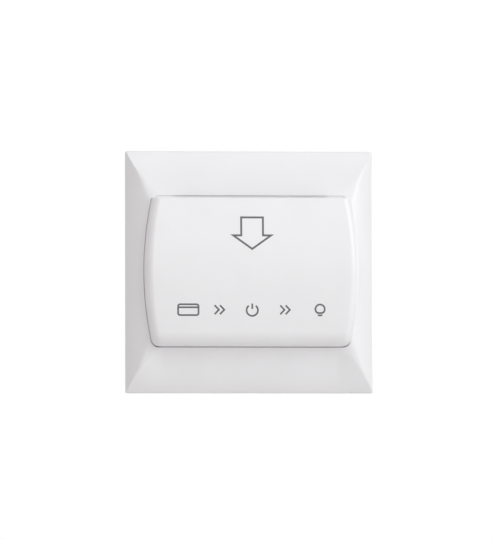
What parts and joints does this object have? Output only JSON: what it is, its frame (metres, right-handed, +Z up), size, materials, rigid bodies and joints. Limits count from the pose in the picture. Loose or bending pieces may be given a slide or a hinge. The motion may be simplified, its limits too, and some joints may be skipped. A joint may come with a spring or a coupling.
{
  "type": "hotel key card switch",
  "caption": "White wall switch with a bowed front panel and a slot behind it; a key card in the slot presses a sprung lever that closes a switch and a relay.",
  "frame": {"origin": "middle of the plane that lies on the wall, midway between the two wall screws", "axes": "+Y into the wall, +X to the right as seen from the room, +Z up the wall"},
  "size_m": [0.088, 0.0484, 0.086],
  "materials": {
    "white_plastic": "satin gloss",
    "chassis_plastic": "fine matt",
    "lever_plastic": "smooth",
    "zinc_steel": "zinc plated",
    "spring_steel": "drawn wire",
    "black_plastic": "moulded",
    "red_plastic": "smooth",
    "contact_brass": "stamped",
    "board_laminate": "solder mask",
    "film_case": "moulded",
    "can_sleeve": "shrunk sleeve",
    "fuse_case": "moulded",
    "varistor_coat": "dipped epoxy",
    "terminal_plastic": "moulded"
  },
  "bodies": {
    "base": {"front_frame": "white_plastic", "card_panel": "white_plastic", "panel_screws": "zinc_steel", "base_plate": "chassis_plastic", "lever_pin": "zinc_steel", "lever_spring": "spring_steel", "microswitch_body": "black_plastic", "microswitch_cover": "black_plastic", "microswitch_contacts": "contact_brass", "circuit_board": "board_laminate", "board_screws": "zinc_steel", "relay": "black_plastic", "film_capacitor": "film_case", "electrolytic_capacitor": "can_sleeve", "bridge_rectifier": "black_plastic", "fuse": "fuse_case", "varistor": "varistor_coat", "controller_chip": "black_plastic", "chip_resistors": "black_plastic", "component_leads": "zinc_steel", "terminal_block": "terminal_plastic", "terminal_cages": "contact_brass", "terminal_screws": "zinc_steel", "rear_housing": "chassis_plastic", "housing_screws": "zinc_steel"},
    "lever": {"card_lever": "lever_plastic"},
    "plunger": {"microswitch_plunger": "red_plastic"},
    "blade": {"contact_blade": "contact_brass"}
  },
  "joints": [
    {"name": "lever_hinge", "type": "hinge", "parent": "base", "child": "lever", "pos_m": [0, -0.0054, -0.002], "axis": [1, 0, 0], "range_deg": [0, 17.98], "stiffness_Nm_per_rad": 0.006, "springref_deg": -20.05, "deforming": ["lever_spring"]},
    {"name": "plunger_slide", "type": "slide", "parent": "base", "child": "plunger", "axis": [0, 1, 0], "range_m": [0, 0.000985]},
    {"name": "blade_flex", "type": "hinge", "parent": "base", "child": "blade", "pos_m": [-0.0106, 0.00365, -0.0051], "axis": [0, 0, 1], "range_deg": [0, 5.35]}
  ],
  "couplings": [
    {"joint": "plunger_slide", "follows": "lever_hinge", "m_per_rad": 0.003126},
    {"joint": "blade_flex", "follows": "lever_hinge", "ratio": 0.29538}
  ]
}
